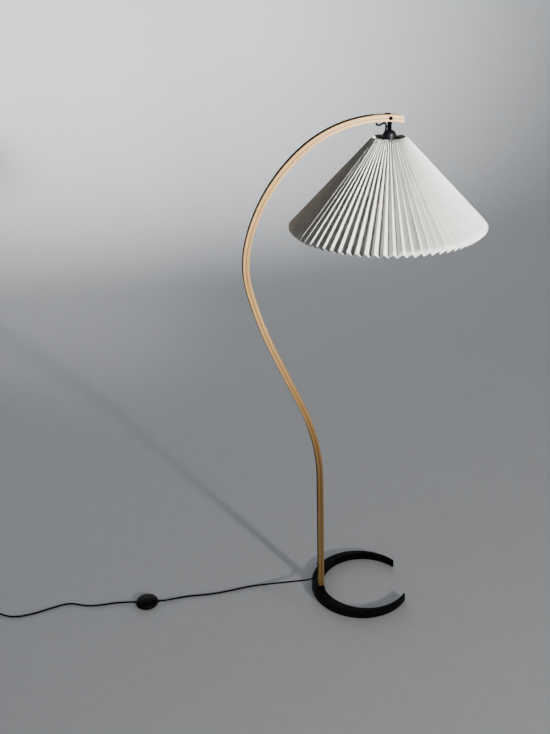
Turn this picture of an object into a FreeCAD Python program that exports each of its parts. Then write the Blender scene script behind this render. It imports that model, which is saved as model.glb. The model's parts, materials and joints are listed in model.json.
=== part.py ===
import FreeCAD, Part
import math
import os
from FreeCAD import Vector

# Arc floor lamp: a laminated bentwood stem on a horseshoe base, with a tilting
# lampholder and pleated shade, a foot switch and a mains lead.
# Millimetres. Origin under the stem's foot, on the floor. +X points from the
# stem's foot to the shade, +Z up, and the whole stem lies in the XZ plane.

# ---- base ----
BASE_OUTER_R = 161.0
BASE_OUTER_X = 132.0
BASE_INNER_R = 141.5
BASE_INNER_X = 147.0
BASE_PAD_X = 10.0          # straight inner edge of the pad under the stem
BASE_TIP_X = 265.0
BASE_TOP = 27.5
UNDERLAY_T = 2.0
UNDERLAY_INSET = 2.5
BASE_EDGE_R = 3.0
TIP_CORNER_R = 2.6
PAD_CORNER_R = 8.0
STEM_BOLT_Y = 8.0
STEM_BOLT_R = 3.0
STEM_BOLT_HEAD_R = 5.0
STEM_BOLT_HEAD_H = 6.0
STEM_BOLT_REACH = 18.0     # how far the bolts go into the stem
INSERT_R = 4.6
INSERT_LEN = 16.0

# ---- stem, described by its middle line from the foot up ----
STEM_W = 29.0
STEM_EDGE_R = 1.5
OUTER_PLY = 8.0
CORE_PLY = 3.0
INNER_PLY = 7.0
STEM_T = OUTER_PLY + CORE_PLY + INNER_PLY
FOOT_RUN = 412.1           # upright part above the base
KNEE_R = 652.0             # bends back from upright to the lean
LEAN = 23.5                # degrees
LEAN_RUN = 181.0
EASE_R = 1226.0            # slowly back towards upright
EASE_LEAN = 13.3
BELLY_R = 300.0            # furthest back point of the stem
SHOULDER_FROM = 14.6
SHOULDER_R = 472.0
CROWN_FROM = 49.2
CROWN_R = 328.0            # turns over into the level arm
TIP_FROM_X = 182.0         # the arm's end curves down a little from here
TIP_R = 210.0
TIP_TURN = 15.0
ARM_END_X = 229.0
ARM_TOP_CORNER_R = 5.0
ARM_LOW_CORNER_R = 2.5

# ---- cord ----
CORD_D = 5.6
CORD_R = CORD_D / 2.0
GROOVE_HALF_W = 3.05
GROOVE_DEPTH = 3.6
CORD_SINK = 0.6            # depth of the cord's centre below the outer face
GROOVE_FOOT_Z = 62.0
CORD_LEAVES_Z = 92.0       # where the cord leaves its groove at the foot
CORD_HOLE_X = 157.0        # where it passes down through the arm
CORD_HOLE_BEND_R = 12.0

# ---- tilting head ----
PIVOT_X = 193.0
PIVOT_BOLT_R = 3.0
PIVOT_HEAD_R = 5.0
PIVOT_HEAD_H = 2.6
KERF_W = 6.0
KERF_END_X = 176.5
TONGUE_T = 3.9
TONGUE_HALF_W = 9.0
TONGUE_TOP_R = 10.2
TONGUE_SHOULDER = 11.0     # below the pivot
HEEL_REACH = 14.0          # stop on the tongue, behind the pivot
HEEL_R = 17.2
HEEL_PROUD = 2.8
NECK_R = 6.0
NECK_BORE_R = 3.9
SPIGOT_R = 5.0             # threaded end below the neck's shoulder
NECK_TOP = 15.3            # below the pivot
NECK_BOTTOM = 38.3
LOCKNUT_HALF = 6.1
CAP_TOP = 32.5             # lampholder cap, distances below the pivot
CAP_STRAIGHT = 46.0
CAP_BOTTOM = 57.0
CAP_R = 17.5
CAP_WALL = 1.8
BODY_R = 18.5
BODY_WALL = 1.8
BODY_BOTTOM = 99.0
FLANGE_R = 23.0
FLANGE_T = 3.0
FLANGE_TOP = 60.0
HUB_R = 26.0
HUB_T = 2.0
RUNNING_FIT = 0.05
FACE_GAP = 0.3
NUT_R = 24.0
NUT_H = 8.0
SHELL_R = 14.6             # brass screw shell
SHELL_WALL = 0.7
SHELL_TOP = 73.0
SHELL_BOTTOM = 98.0
BULB_CAP_R = 13.1
BULB_TOP = 75.7
BULB_R = 30.0
BULB_BOTTOM = 188.0
BULB_WALL = 1.0

# ---- shade ----
SHADE_TOP_R = 45.5
SHADE_TOP_Z = 1487.0
SHADE_RIM_R = 275.0
SHADE_RIM_Z = 1245.6
SHADE_T = 1.5
HOOP_R = 40.0              # wire hoop just inside the top of the pleats
HOOP_Z = 1476.0
HOOP_WIRE_R = 1.5
SPOKES = 3

# ---- foot switch ----
SWITCH_X = -580.0
SWITCH_Y = 5.0
SWITCH_TURN = 176.0        # heading of the cord through the switch, degrees from +X
SWITCH_R = 36.0
SWITCH_TOP = 20.5
SWITCH_FOOT_T = 1.0
SWITCH_SPLIT_Z = 7.5
SWITCH_WALL = 2.0
SWITCH_CORD_Z = 7.5
BUTTON_R = 9.5
BUTTON_GAP = 0.35
BUTTON_TRAVEL = 3.0
BUTTON_PROUD = 2.2
GLAND_LEN = 12.0

# ---- coil and plug ----
COIL_X = -1119.0
COIL_Y = 14.0
COIL_MID_R = 31.0
COIL_HALF_W = 8.6
COIL_LOW = 1.2
COIL_HIGH = 16.8
TIE_W = 11.0
TIE_T = 1.2
TIE_ANGLE = 200.0
PLUG_L = 35.0
PLUG_W = 34.0
PLUG_H = 13.6
PIN_R = 2.0
PIN_LEN = 19.0
PIN_GAP = 18.6
RELIEF_LEN = 26.0
PLUG_X = -1226.0           # where the strain relief meets the plug
PLUG_Y = 41.0
PLUG_TURN = 184.0

UP = Vector(0, 0, 1)
ALONG_Y = Vector(0, 1, 0)
STEP_FOLDER = "parts"

# The free cord from the groove at the stem's foot to the switch.
CORD_TO_SWITCH = [
    (-8.4, 0.0, 92.0),
    (-8.4, 0.0, 67.0),
    (-25.0, 3.0, 46.0),
    (-52.0, 8.0, 37.0),
    (-90.0, 18.0, 28.5),
    (-132.0, 31.0, 17.5),
    (-172.0, 41.5, 7.5),
    (-210.0, 46.0, 3.2),
    (-250.0, 41.5, 2.9),
    (-300.0, 30.5, 3.0),
    (-350.0, 22.5, 2.9),
    (-396.0, 19.5, 3.0),
    (-438.0, 20.5, 2.9),
    (-474.0, 16.0, 3.0),
    (-501.0, 9.5, 4.4),
]

# The free cord from the switch to the coil.
CORD_TO_COIL = [
    (-658.0, 14.5, 4.2),
    (-684.0, 17.0, 3.0),
    (-718.0, 13.5, 2.9),
    (-760.0, 11.5, 3.0),
    (-793.0, 18.5, 2.9),
    (-822.0, 31.0, 3.0),
    (-850.0, 33.0, 2.9),
    (-890.0, 20.0, 3.0),
    (-934.0, 2.5, 2.9),
    (-976.0, -8.5, 3.0),
    (-1010.0, -10.5, 2.9),
    (-1038.0, -1.5, 3.0),
    (-1066.0, 15.5, 3.2),
    (-1092.0, 34.5, 3.8),
]

# The lead from the top of the coil to the plug.
PLUG_LEAD = [
    (-1119.0, 45.0, 14.0),
    (-1138.0, 45.6, 13.6),
    (-1157.0, 44.6, 11.4),
    (-1178.0, 43.6, 8.0),
]

# The short loop from under the arm to the top of the lampholder.
HEAD_LOOP = [
    (157.0, 0.0, 1527.5),
    (157.0, 0.0, 1513.0),
    (183.2, 0.0, 1524.5),
    (183.2, 0.0, 1501.0),
]
HEAD_LOOP_R = 8.3


# ---------------------------------------------------------------- helpers
def cylinder(radius, z0, z1, x=0.0, y=0.0):
    return Part.makeCylinder(radius, z1 - z0, Vector(x, y, z0), UP)


def tube(outer, inner, z0, z1, x=0.0, y=0.0):
    return cylinder(outer, z0, z1, x, y).cut(cylinder(inner, z0 - 1, z1 + 1, x, y))


def block(x0, x1, y0, y1, z0, z1):
    return Part.makeBox(x1 - x0, y1 - y0, z1 - z0, Vector(x0, y0, z0))


def turned(profile, x=0.0, y=0.0):
    """A closed (radius, z) outline turned about the vertical through (x, y)."""
    wire = Part.makePolygon([Vector(r, 0, z) for r, z in profile + profile[:1]])
    solid = Part.Face(wire).revolve(Vector(0, 0, 0), UP, 360)
    solid.translate(Vector(x, y, 0))
    return solid


def spline_turned(lower, curve, x=0.0):
    """Turn an outline whose last stretch is a smooth curve through the points."""
    points = [Vector(r, 0, z) for r, z in curve]
    smooth = Part.BSplineCurve()
    smooth.interpolate(points)
    corners = [points[-1]] + [Vector(r, 0, z) for r, z in lower] + [points[0]]
    edges = [smooth.toShape()] + [Part.LineSegment(a, b).toShape() for a, b in zip(corners, corners[1:])]
    solid = Part.Face(Part.Wire(edges)).revolve(Vector(0, 0, 0), UP, 360)
    solid.translate(Vector(x, 0, 0))
    return solid


def compound(shapes):
    return Part.makeCompound(shapes)


def save(name, shape):
    shape.exportStep(STEP_FOLDER + "/" + name + ".step")


def sweep_round(wire, radius):
    """A round tube along a wire of tangent lines and arcs."""
    first = wire.OrderedEdges[0]
    start = first.valueAt(first.FirstParameter)
    tangent = first.tangentAt(first.FirstParameter)
    if first.Orientation == "Reversed":
        start = first.valueAt(first.LastParameter)
        tangent = first.tangentAt(first.LastParameter) * -1.0
    ring = Part.Wire([Part.makeCircle(radius, start, tangent)])
    return wire.makePipeShell([ring], True, False)


def route(name, points, held_radius=None):
    """Straight runs joined by tangent arcs, each as large as its runs allow or of a held radius."""
    corners = [Vector(*p) for p in points]
    edges = []
    radii = []
    here = corners[0]
    for before, corner, after in zip(corners, corners[1:], corners[2:]):
        back = (before - corner).normalize()
        onward = (after - corner).normalize()
        half_turn = (math.pi - back.getAngle(onward)) / 2.0
        shorter = min((before - corner).Length, (after - corner).Length)
        radius = 0.45 * shorter / math.tan(half_turn)
        if held_radius:
            radius = held_radius
        setback = radius * math.tan(half_turn)
        start = corner + back * setback
        end = corner + onward * setback
        inward = (back + onward).normalize()
        middle = corner + inward * (radius / math.cos(half_turn) - radius)
        edges.append(Part.LineSegment(here, start).toShape())
        edges.append(Part.Arc(start, middle, end).toShape())
        radii.append(radius)
        here = end
    edges.append(Part.LineSegment(here, corners[-1]).toShape())
    wire = Part.Wire(edges)
    print(name, "radii", " ".join("%.0f" % r for r in radii), "length %.0f" % wire.Length)
    return wire


def cord_tube(name, points, held_radius=None):
    wire = route(name, points, held_radius)
    solid = sweep_round(wire, CORD_R)
    expected = wire.Length * math.pi * CORD_R ** 2
    print(name, "volume over section times length: %.4f" % (solid.Volume / expected))
    return solid


# ---------------------------------------------------------------- stem line
class StemLine:
    """The stem's curve, offset from its middle line: positive is the outer side.

    It goes over the crown as far as the given heading, in degrees from upright.
    """

    def __init__(self, offset, start_z=BASE_TOP, heading=90.0):
        self.offset = offset
        self.point = Vector(0, 0, BASE_TOP)
        self.angle = 0.0
        self.edges = []
        self.straight(FOOT_RUN, start_z - BASE_TOP)
        self.bend(KNEE_R, -LEAN)
        self.straight(LEAN_RUN)
        self.bend(EASE_R, LEAN - EASE_LEAN)
        self.bend(BELLY_R, EASE_LEAN + SHOULDER_FROM)
        self.bend(SHOULDER_R, CROWN_FROM - SHOULDER_FROM)
        self.bend(CROWN_R, heading - CROWN_FROM)

    def at_offset(self, point=None, angle=None):
        point = self.point if point is None else point
        angle = math.radians(self.angle if angle is None else angle)
        return point + Vector(-math.cos(angle), 0, math.sin(angle)) * self.offset

    def straight(self, length, skip=0.0):
        heading = math.radians(self.angle)
        ahead = Vector(math.sin(heading), 0, math.cos(heading))
        start = self.at_offset(self.point + ahead * skip)
        self.point = self.point + ahead * length
        self.edges.append(Part.LineSegment(start, self.at_offset()).toShape())

    def bend(self, radius, degrees):
        side = 1.0 if degrees > 0 else -1.0
        heading = math.radians(self.angle)
        centre = self.point + Vector(math.cos(heading), 0, -math.sin(heading)) * (side * radius)
        ends = []
        for share in (0.0, 0.5, 1.0):
            angle = self.angle + degrees * share
            turn = math.radians(angle)
            on_line = centre + Vector(-math.cos(turn), 0, math.sin(turn)) * (side * radius)
            ends.append(self.at_offset(on_line, angle))
        self.edges.append(Part.Arc(*ends).toShape())
        self.point = on_line
        self.angle = self.angle + degrees

    def level_to(self, x):
        start = self.at_offset()
        self.edges.append(Part.LineSegment(start, Vector(x, 0, start.z)).toShape())
        self.point = Vector(x, 0, self.point.z)
        return self

    def past_the_end(self):
        """On along the arm and over its lowered end, to be cut off at ARM_END_X."""
        self.level_to(TIP_FROM_X)
        self.bend(TIP_R, TIP_TURN)
        return self


CROWN_END = StemLine(0.0).point
ARM_Z = CROWN_END.z
ARM_TOP = ARM_Z + STEM_T / 2.0
CORD_OFFSET = STEM_T / 2.0 - CORD_SINK

# where the cord turns down into the arm: its bend touches the crown's curve
DIP_X = CORD_HOLE_X - CORD_HOLE_BEND_R
DIP_REACH = CROWN_R + CORD_OFFSET - CORD_HOLE_BEND_R
DIP_LEFT = math.asin((CROWN_END.x - DIP_X) / DIP_REACH)
DIP_Z = ARM_Z - CROWN_R + DIP_REACH * math.cos(DIP_LEFT)
DIP_HEADING = 90.0 - math.degrees(DIP_LEFT)


def below_pivot(distance):
    return ARM_Z - distance


def stem_cord_wire(start_z, end_z):
    """The cord's line up the groove, over the arm and down through its hole."""
    line = StemLine(CORD_OFFSET, start_z, DIP_HEADING)
    centre = Vector(DIP_X, 0, DIP_Z)
    half_way = (math.pi / 2.0 - DIP_LEFT) / 2.0
    middle = centre + Vector(math.sin(half_way), 0, math.cos(half_way)) * CORD_HOLE_BEND_R
    foot = centre + Vector(CORD_HOLE_BEND_R, 0, 0)
    line.edges.append(Part.Arc(line.at_offset(), middle, foot).toShape())
    line.edges.append(Part.LineSegment(foot, Vector(foot.x, 0, end_z)).toShape())
    return Part.Wire(line.edges)


# ---------------------------------------------------------------- base
def horseshoe(z0, z1, inset=0.0):
    ring = cylinder(BASE_OUTER_R - inset, z0, z1, BASE_OUTER_X)
    opening = cylinder(BASE_INNER_R + inset, z0 - 1, z1 + 1, BASE_INNER_X)
    reach = BASE_OUTER_X + BASE_OUTER_R + 10
    opening = opening.common(block(BASE_PAD_X - inset, reach, -reach, reach, z0 - 1, z1 + 1))
    mouth = block(BASE_TIP_X - inset, reach, -reach, reach, z0 - 1, z1 + 1)
    return ring.cut(opening).cut(mouth)


def base_casting():
    body = horseshoe(UNDERLAY_T, BASE_TOP)
    upright = [e for e in body.Edges if e.BoundBox.ZLength > 1 and e.BoundBox.XLength < 0.01]
    body = body.makeFillet(TIP_CORNER_R, [e for e in upright if e.BoundBox.XMin > BASE_TIP_X - 1])
    upright = [e for e in body.Edges if e.BoundBox.ZLength > 1 and e.BoundBox.XLength < 0.01]
    body = body.makeFillet(PAD_CORNER_R, [e for e in upright if abs(e.BoundBox.XMin - BASE_PAD_X) < 0.1])
    top = [e for e in body.Edges if e.BoundBox.ZMin > BASE_TOP - 0.01]
    body = body.makeFillet(BASE_EDGE_R, top)
    for y in (-STEM_BOLT_Y, STEM_BOLT_Y):
        body = body.cut(cylinder(STEM_BOLT_R + 0.3, 0, BASE_TOP + 1, 0, y))
        body = body.cut(cylinder(STEM_BOLT_HEAD_R + 0.5, 0, UNDERLAY_T + STEM_BOLT_HEAD_H + 1, 0, y))
    return body


def stem_bolt(y):
    head_top = UNDERLAY_T + 1 + STEM_BOLT_HEAD_H
    head = cylinder(STEM_BOLT_HEAD_R, UNDERLAY_T + 1, head_top, 0, y)
    shank = cylinder(STEM_BOLT_R, head_top, BASE_TOP + STEM_BOLT_REACH, 0, y)
    key = Part.Face(Part.makePolygon(hexagon(2.5, 0, y, UNDERLAY_T)))
    return head.fuse(shank).cut(key.extrude(Vector(0, 0, 4)))


def hexagon(across_half, x, y, z):
    corner = across_half / math.cos(math.radians(30))
    turns = [math.radians(60 * k) for k in range(7)]
    return [Vector(x + corner * math.cos(t), y + corner * math.sin(t), z) for t in turns]


def stem_insert(y):
    return tube(INSERT_R, STEM_BOLT_R, BASE_TOP + 0.5, BASE_TOP + 0.5 + INSERT_LEN, 0, y)


# ---------------------------------------------------------------- stem plies
def stem_side(offset, foot_z, heading=None):
    """One side of a strip along the stem, all of it or as far as a heading on the crown."""
    if heading is None:
        return StemLine(offset, foot_z).past_the_end()
    return StemLine(offset, foot_z, heading)


def band(outer_offset, inner_offset, half_width, foot_z, heading=None):
    """A strip that follows the stem between two offsets from its middle line."""
    outside = stem_side(outer_offset, foot_z, heading)
    inside = stem_side(inner_offset, foot_z, heading)
    ends = [(Vector(-outer_offset, 0, foot_z), Vector(-inner_offset, 0, foot_z)),
            (outside.at_offset(), inside.at_offset())]
    closing = [Part.LineSegment(a, b).toShape() for a, b in ends]
    wire = Part.Wire(Part.__sortEdges__(outside.edges + inside.edges + closing))
    solid = Part.Face(wire).extrude(Vector(0, 2 * half_width, 0))
    solid.translate(Vector(0, -half_width, 0))
    return solid


def ply(outer_offset, inner_offset, eased_offset=None):
    """One layer of the stem; the long edges at eased_offset are rounded over."""
    half = STEM_W / 2.0
    solid = band(outer_offset, inner_offset, half, BASE_TOP)
    solid = solid.cut(block(ARM_END_X, ARM_END_X + 20, -STEM_W, STEM_W, ARM_Z - 2 * STEM_T, ARM_Z + STEM_T))
    if eased_offset is None:
        return solid
    side = Part.Wire(Part.__sortEdges__(stem_side(eased_offset, BASE_TOP).edges))
    eased = []
    for edge in solid.Edges:
        middle = edge.valueAt((edge.FirstParameter + edge.LastParameter) / 2.0)
        away = Part.Vertex(middle.x, 0, middle.z).distToShape(side)[0]
        if abs(abs(middle.y) - half) < 0.01 and away < 0.01:
            eased.append(edge)
    return solid.makeFillet(STEM_EDGE_R, eased)


def arm_end_tools():
    """What rounds the two corners of the arm's end."""
    tools = []
    turn_z = ARM_Z - TIP_R
    for radius, side in ((ARM_TOP_CORNER_R, 1), (ARM_LOW_CORNER_R, -1)):
        reach = TIP_R + side * (STEM_T / 2.0 - radius)
        x = ARM_END_X - radius
        z = turn_z + math.sqrt(reach ** 2 - (x - TIP_FROM_X) ** 2)
        outward = Vector(x - TIP_FROM_X, 0, z - turn_z).normalize() * (side * (radius + 3))
        corners = [Vector(x, -STEM_W, z), Vector(ARM_END_X + 3, -STEM_W, z),
                   Vector(ARM_END_X + 3, -STEM_W, z + side * (radius + 3)), Vector(x, -STEM_W, z) + outward]
        corner = Part.Face(Part.makePolygon(corners + corners[:1])).extrude(Vector(0, 2 * STEM_W, 0))
        tools.append(corner.cut(Part.makeCylinder(radius, 2 * STEM_W, Vector(x, -STEM_W, z), ALONG_Y)))
    return tools


def groove():
    """The slot for the cord along the stem's outer face and the arm's top."""
    outer = STEM_T / 2.0
    return band(outer + 2.0, outer - GROOVE_DEPTH, GROOVE_HALF_W, GROOVE_FOOT_Z, DIP_HEADING)


def cord_hole():
    """The bend from the slot down to a hole through the arm."""
    rings = []
    for radius in (CORD_HOLE_BEND_R + GROOVE_HALF_W, CORD_HOLE_BEND_R - GROOVE_HALF_W):
        start = Vector(DIP_X, -GROOVE_HALF_W, DIP_Z)
        rings.append(Part.makeCylinder(radius, 2 * GROOVE_HALF_W, start, ALONG_Y))
    quarter = block(DIP_X - 1.4, DIP_X + 20, -10, 10, DIP_Z, ARM_TOP + 5)
    bend = rings[0].cut(rings[1]).common(quarter)
    drop = block(CORD_HOLE_X - GROOVE_HALF_W, CORD_HOLE_X + GROOVE_HALF_W, -GROOVE_HALF_W, GROOVE_HALF_W,
                 ARM_TOP - STEM_T - 2, DIP_Z)
    return bend.fuse(drop)


def stem_cutters():
    kerf_half = KERF_W / 2.0
    low = ARM_TOP - STEM_T - 12
    kerf = block(KERF_END_X, ARM_END_X + 1, -kerf_half, kerf_half, low, ARM_TOP + 5)
    kerf = kerf.fuse(cylinder(kerf_half, low, ARM_TOP + 5, KERF_END_X))
    bolt = Part.makeCylinder(PIVOT_BOLT_R + 0.1, 2 * STEM_W, Vector(PIVOT_X, -STEM_W, ARM_Z), ALONG_Y)
    inserts = [cylinder(INSERT_R, BASE_TOP - 1, BASE_TOP + INSERT_LEN + 4, 0, y)
               for y in (-STEM_BOLT_Y, STEM_BOLT_Y)]
    clip_screws = [Part.makeCylinder(1.5, 9, Vector(-STEM_T / 2.0 - 1, y, CLIP_Z), Vector(1, 0, 0))
                   for y in (-CLIP_SCREW_Y, CLIP_SCREW_Y)]
    return arm_end_tools() + [kerf, bolt, groove(), cord_hole()] + inserts + clip_screws


# ---------------------------------------------------------------- cord clip
CLIP_Z = 104.0
CLIP_H = 9.0
CLIP_T = 1.6
CLIP_SCREW_Y = 8.5


def cord_clip():
    """A saddle over the cord at the foot of the groove."""
    face = -STEM_T / 2.0
    z0 = CLIP_Z - CLIP_H / 2.0
    wings = block(face - CLIP_T, face, -12.0, 12.0, z0, z0 + CLIP_H)
    centre = face + CORD_SINK
    saddle = cylinder(CORD_R + 0.15 + CLIP_T, z0, z0 + CLIP_H, centre)
    saddle = saddle.common(block(centre - 10, face, -10, 10, z0, z0 + CLIP_H))
    clip = wings.fuse(saddle).cut(cylinder(CORD_R + 0.15, z0 - 1, z0 + CLIP_H + 1, centre))
    for y in (-CLIP_SCREW_Y, CLIP_SCREW_Y):
        clip = clip.cut(Part.makeCylinder(1.6, 6, Vector(face - 4, y, CLIP_Z), Vector(1, 0, 0)))
    return clip


def clip_screw(y):
    face = -STEM_T / 2.0 - CLIP_T
    shank = Part.makeCylinder(1.5, 8, Vector(face, y, CLIP_Z), Vector(1, 0, 0))
    head = Part.makeSphere(2.9, Vector(face + 1.3, y, CLIP_Z))
    head = head.common(block(face - 3, face, y - 4, y + 4, CLIP_Z - 4, CLIP_Z + 4))
    slot = block(face - 3, face - 0.9, y - 3, y + 3, CLIP_Z - 0.4, CLIP_Z + 0.4)
    return shank.fuse(head).cut(slot)


# ---------------------------------------------------------------- pivot
def pivot_bolt():
    near = -STEM_W / 2.0
    axis = Vector(PIVOT_X, near, ARM_Z)
    shank = Part.makeCylinder(PIVOT_BOLT_R, STEM_W + 5, axis, ALONG_Y)
    head = Part.makeCylinder(PIVOT_HEAD_R, PIVOT_HEAD_H, axis - Vector(0, PIVOT_HEAD_H, 0), ALONG_Y)
    head = head.makeChamfer(0.7, [e for e in head.Edges if e.BoundBox.YMax < near - PIVOT_HEAD_H + 0.01])
    key = Part.makeCylinder(2.0, 2.0, axis - Vector(0, PIVOT_HEAD_H, 0), ALONG_Y)
    return shank.fuse(head).cut(key)


def pivot_nut():
    far = STEM_W / 2.0
    outline = [p - Vector(0, 0, 0) for p in hexagon(5.0, 0, 0, 0)]
    nut = Part.Face(Part.makePolygon(outline)).extrude(Vector(0, 0, 3.5))
    dome = Part.makeSphere(4.7, Vector(0, 0, 2.6)).common(cylinder(6, 3.4, 9))
    nut = nut.fuse(dome).cut(cylinder(PIVOT_BOLT_R, -1, 5.0))
    nut.rotate(Vector(0, 0, 0), Vector(1, 0, 0), -90)
    nut.translate(Vector(PIVOT_X, far, ARM_Z))
    return nut


def friction_washer(side):
    inner = TONGUE_T / 2.0 + 0.05
    thickness = KERF_W / 2.0 - inner
    start = Vector(PIVOT_X, inner if side > 0 else -inner - thickness, ARM_Z)
    disc = Part.makeCylinder(7.5, thickness, start, ALONG_Y)
    return disc.cut(Part.makeCylinder(PIVOT_BOLT_R, thickness, start, ALONG_Y))


def pivot_tongue():
    """A flat tongue in the arm's kerf, with a round tail fixed in the neck tube."""
    half = TONGUE_T / 2.0
    disc = Part.makeCylinder(TONGUE_TOP_R, TONGUE_T, Vector(PIVOT_X, -half, ARM_Z), ALONG_Y)
    reach = TONGUE_TOP_R + 1
    sides = block(PIVOT_X - TONGUE_HALF_W, PIVOT_X + TONGUE_HALF_W, -half, half, ARM_Z - TONGUE_SHOULDER,
                  ARM_Z + reach)
    heel = block(PIVOT_X - HEEL_REACH, PIVOT_X, -half, half, ARM_Z + 1, ARM_TOP + HEEL_PROUD)
    heel = heel.common(Part.makeCylinder(HEEL_R, TONGUE_T, Vector(PIVOT_X, -half, ARM_Z), ALONG_Y))
    plate = disc.common(sides).fuse(heel)
    plate = plate.fuse(block(PIVOT_X - NECK_R, PIVOT_X + NECK_R, -half, half, below_pivot(NECK_TOP), ARM_Z))
    tail = cylinder(NECK_BORE_R, below_pivot(NECK_TOP + 9), below_pivot(NECK_TOP), PIVOT_X)
    bore = Part.makeCylinder(PIVOT_BOLT_R + RUNNING_FIT, 20, Vector(PIVOT_X, -10, ARM_Z), ALONG_Y)
    return plate.fuse(tail).cut(bore)


def neck_tube():
    body = cylinder(NECK_R, below_pivot(CAP_TOP), below_pivot(NECK_TOP), PIVOT_X)
    body = body.fuse(cylinder(SPIGOT_R, below_pivot(NECK_BOTTOM), below_pivot(CAP_TOP), PIVOT_X))
    return body.cut(cylinder(NECK_BORE_R, below_pivot(NECK_BOTTOM + 1), below_pivot(NECK_TOP - 1), PIVOT_X))


def neck_locknut():
    z0 = below_pivot(NECK_BOTTOM - 0.5)
    height = below_pivot(CAP_TOP + CAP_WALL + 0.3) - z0
    nut = Part.Face(Part.makePolygon(hexagon(LOCKNUT_HALF, 0, 0, z0))).extrude(Vector(0, 0, height))
    nut.rotate(Vector(0, 0, 0), UP, 30)
    nut.translate(Vector(PIVOT_X, 0, 0))
    return nut.cut(cylinder(SPIGOT_R, z0 - 1, z0 + height + 1, PIVOT_X))


# ---------------------------------------------------------------- lampholder
CORD_ENTRY_X = 183.2
CORD_ENTRY_Z = 1501.0
GRIP_R = 3.6


def bell_profile(shrink):
    """Outline points of the cap's bell from its top edge down to its straight part."""
    top = below_pivot(CAP_TOP) - shrink
    straight = below_pivot(CAP_STRAIGHT)
    radius = CAP_R - shrink
    return [(radius * 0.40, top), (radius * 0.66, top - 1.6), (radius * 0.88, top - 5.6),
            (radius * 0.985, top - 9.8), (radius, straight)]


def lampholder_cap():
    low = below_pivot(CAP_BOTTOM)
    outer = spline_turned([(CAP_R, low), (0, low), (0, below_pivot(CAP_TOP))], bell_profile(0.0), PIVOT_X)
    inner_top = below_pivot(CAP_TOP) - CAP_WALL
    inner_r = CAP_R - CAP_WALL
    inner = spline_turned([(inner_r, low - 1), (0, low - 1), (0, inner_top)], bell_profile(CAP_WALL), PIVOT_X)
    cap = outer.cut(inner)
    cap = cap.cut(cylinder(SPIGOT_R, below_pivot(CAP_TOP + 10), below_pivot(CAP_TOP - 10), PIVOT_X))
    cap = cap.cut(cylinder(GRIP_R, below_pivot(CAP_TOP + 12), below_pivot(CAP_TOP - 10), CORD_ENTRY_X))
    return cap


def cord_grip():
    """A short bush in the cap that the cord enters."""
    return tube(GRIP_R, CORD_R + RUNNING_FIT, CORD_ENTRY_Z - 7, CORD_ENTRY_Z + 2.2, CORD_ENTRY_X)


def inner_cord():
    return cylinder(CORD_R, CORD_ENTRY_Z - 13, CORD_ENTRY_Z, CORD_ENTRY_X)


def lampholder_body():
    low = below_pivot(BODY_BOTTOM)
    top = below_pivot(CAP_BOTTOM)
    outline = cylinder(BODY_R, low, top, PIVOT_X)
    flange_top = below_pivot(FLANGE_TOP)
    outline = outline.fuse(cylinder(FLANGE_R, flange_top - FLANGE_T, flange_top, PIVOT_X))
    return outline.cut(cylinder(BODY_R - BODY_WALL, low - 1, top + 1, PIVOT_X))


def insulator_block():
    z0 = below_pivot(SHELL_TOP)
    z1 = below_pivot(CAP_BOTTOM)
    block_body = cylinder(BODY_R - BODY_WALL, z0, z1, PIVOT_X)
    for y in (-9.0, 9.0):
        block_body = block_body.cut(cylinder(1.75, z0 + 6, z1 + 1, PIVOT_X, y))
    block_body = block_body.cut(cylinder(1.5, z0 - 1, z0 + 3.5, PIVOT_X))
    return block_body


def screw_shell():
    z0 = below_pivot(SHELL_BOTTOM)
    z1 = below_pivot(SHELL_TOP)
    return tube(SHELL_R, SHELL_R - SHELL_WALL, z0, z1, PIVOT_X)


def centre_contact():
    z1 = below_pivot(SHELL_TOP)
    rivet = cylinder(1.5, z1 - 2.0, z1 + 3.5, PIVOT_X)
    leaf = block(PIVOT_X - 8, PIVOT_X + 8, -2.5, 2.5, z1 - 2.6, z1 - 1.8)
    foot = block(PIVOT_X - 8, PIVOT_X - 6.5, -2.5, 2.5, z1 - 2.0, z1)
    return rivet.fuse(leaf).fuse(foot)


def terminal_screw(y):
    z1 = below_pivot(CAP_BOTTOM)
    shank = cylinder(1.75, z1 - 8, z1, PIVOT_X, y)
    head = cylinder(3.0, z1, z1 + 2.2, PIVOT_X, y)
    return shank.fuse(head).cut(block(PIVOT_X - 4, PIVOT_X + 4, y - 0.4, y + 0.4, z1 + 1.2, z1 + 3))


def shade_ring_nut():
    top = below_pivot(FLANGE_TOP) - FLANGE_T - HUB_T - FACE_GAP
    nut = tube(NUT_R, BODY_R + RUNNING_FIT, top - NUT_H, top, PIVOT_X)
    for k in range(24):
        turn = math.radians(15 * k)
        x = PIVOT_X + (NUT_R + 0.2) * math.cos(turn)
        y = (NUT_R + 0.2) * math.sin(turn)
        nut = nut.cut(cylinder(1.1, top - NUT_H - 1, top + 1, x, y))
    return nut


# ---------------------------------------------------------------- bulb
def bulb_cap():
    top = below_pivot(BULB_TOP) - 4.6
    low = top - 24.0
    rings = [(0, low), (BULB_CAP_R - 0.4, low)]
    for k in range(5):
        z = low + 3.4 + 3.6 * k
        rings += [(BULB_CAP_R - 0.6, z), (BULB_CAP_R, z + 0.9), (BULB_CAP_R, z + 1.7), (BULB_CAP_R - 0.6, z + 2.6)]
    rings += [(BULB_CAP_R - 0.8, top - 1.2), (9.0, top), (0, top)]
    return turned(rings, PIVOT_X)


def bulb_contact():
    top = below_pivot(BULB_TOP)
    return turned([(0, top - 4.6), (8.8, top - 4.6), (6.0, top - 2.2), (4.8, top - 1.2), (4.0, top - 0.2), (0, top)],
                  PIVOT_X)


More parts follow.
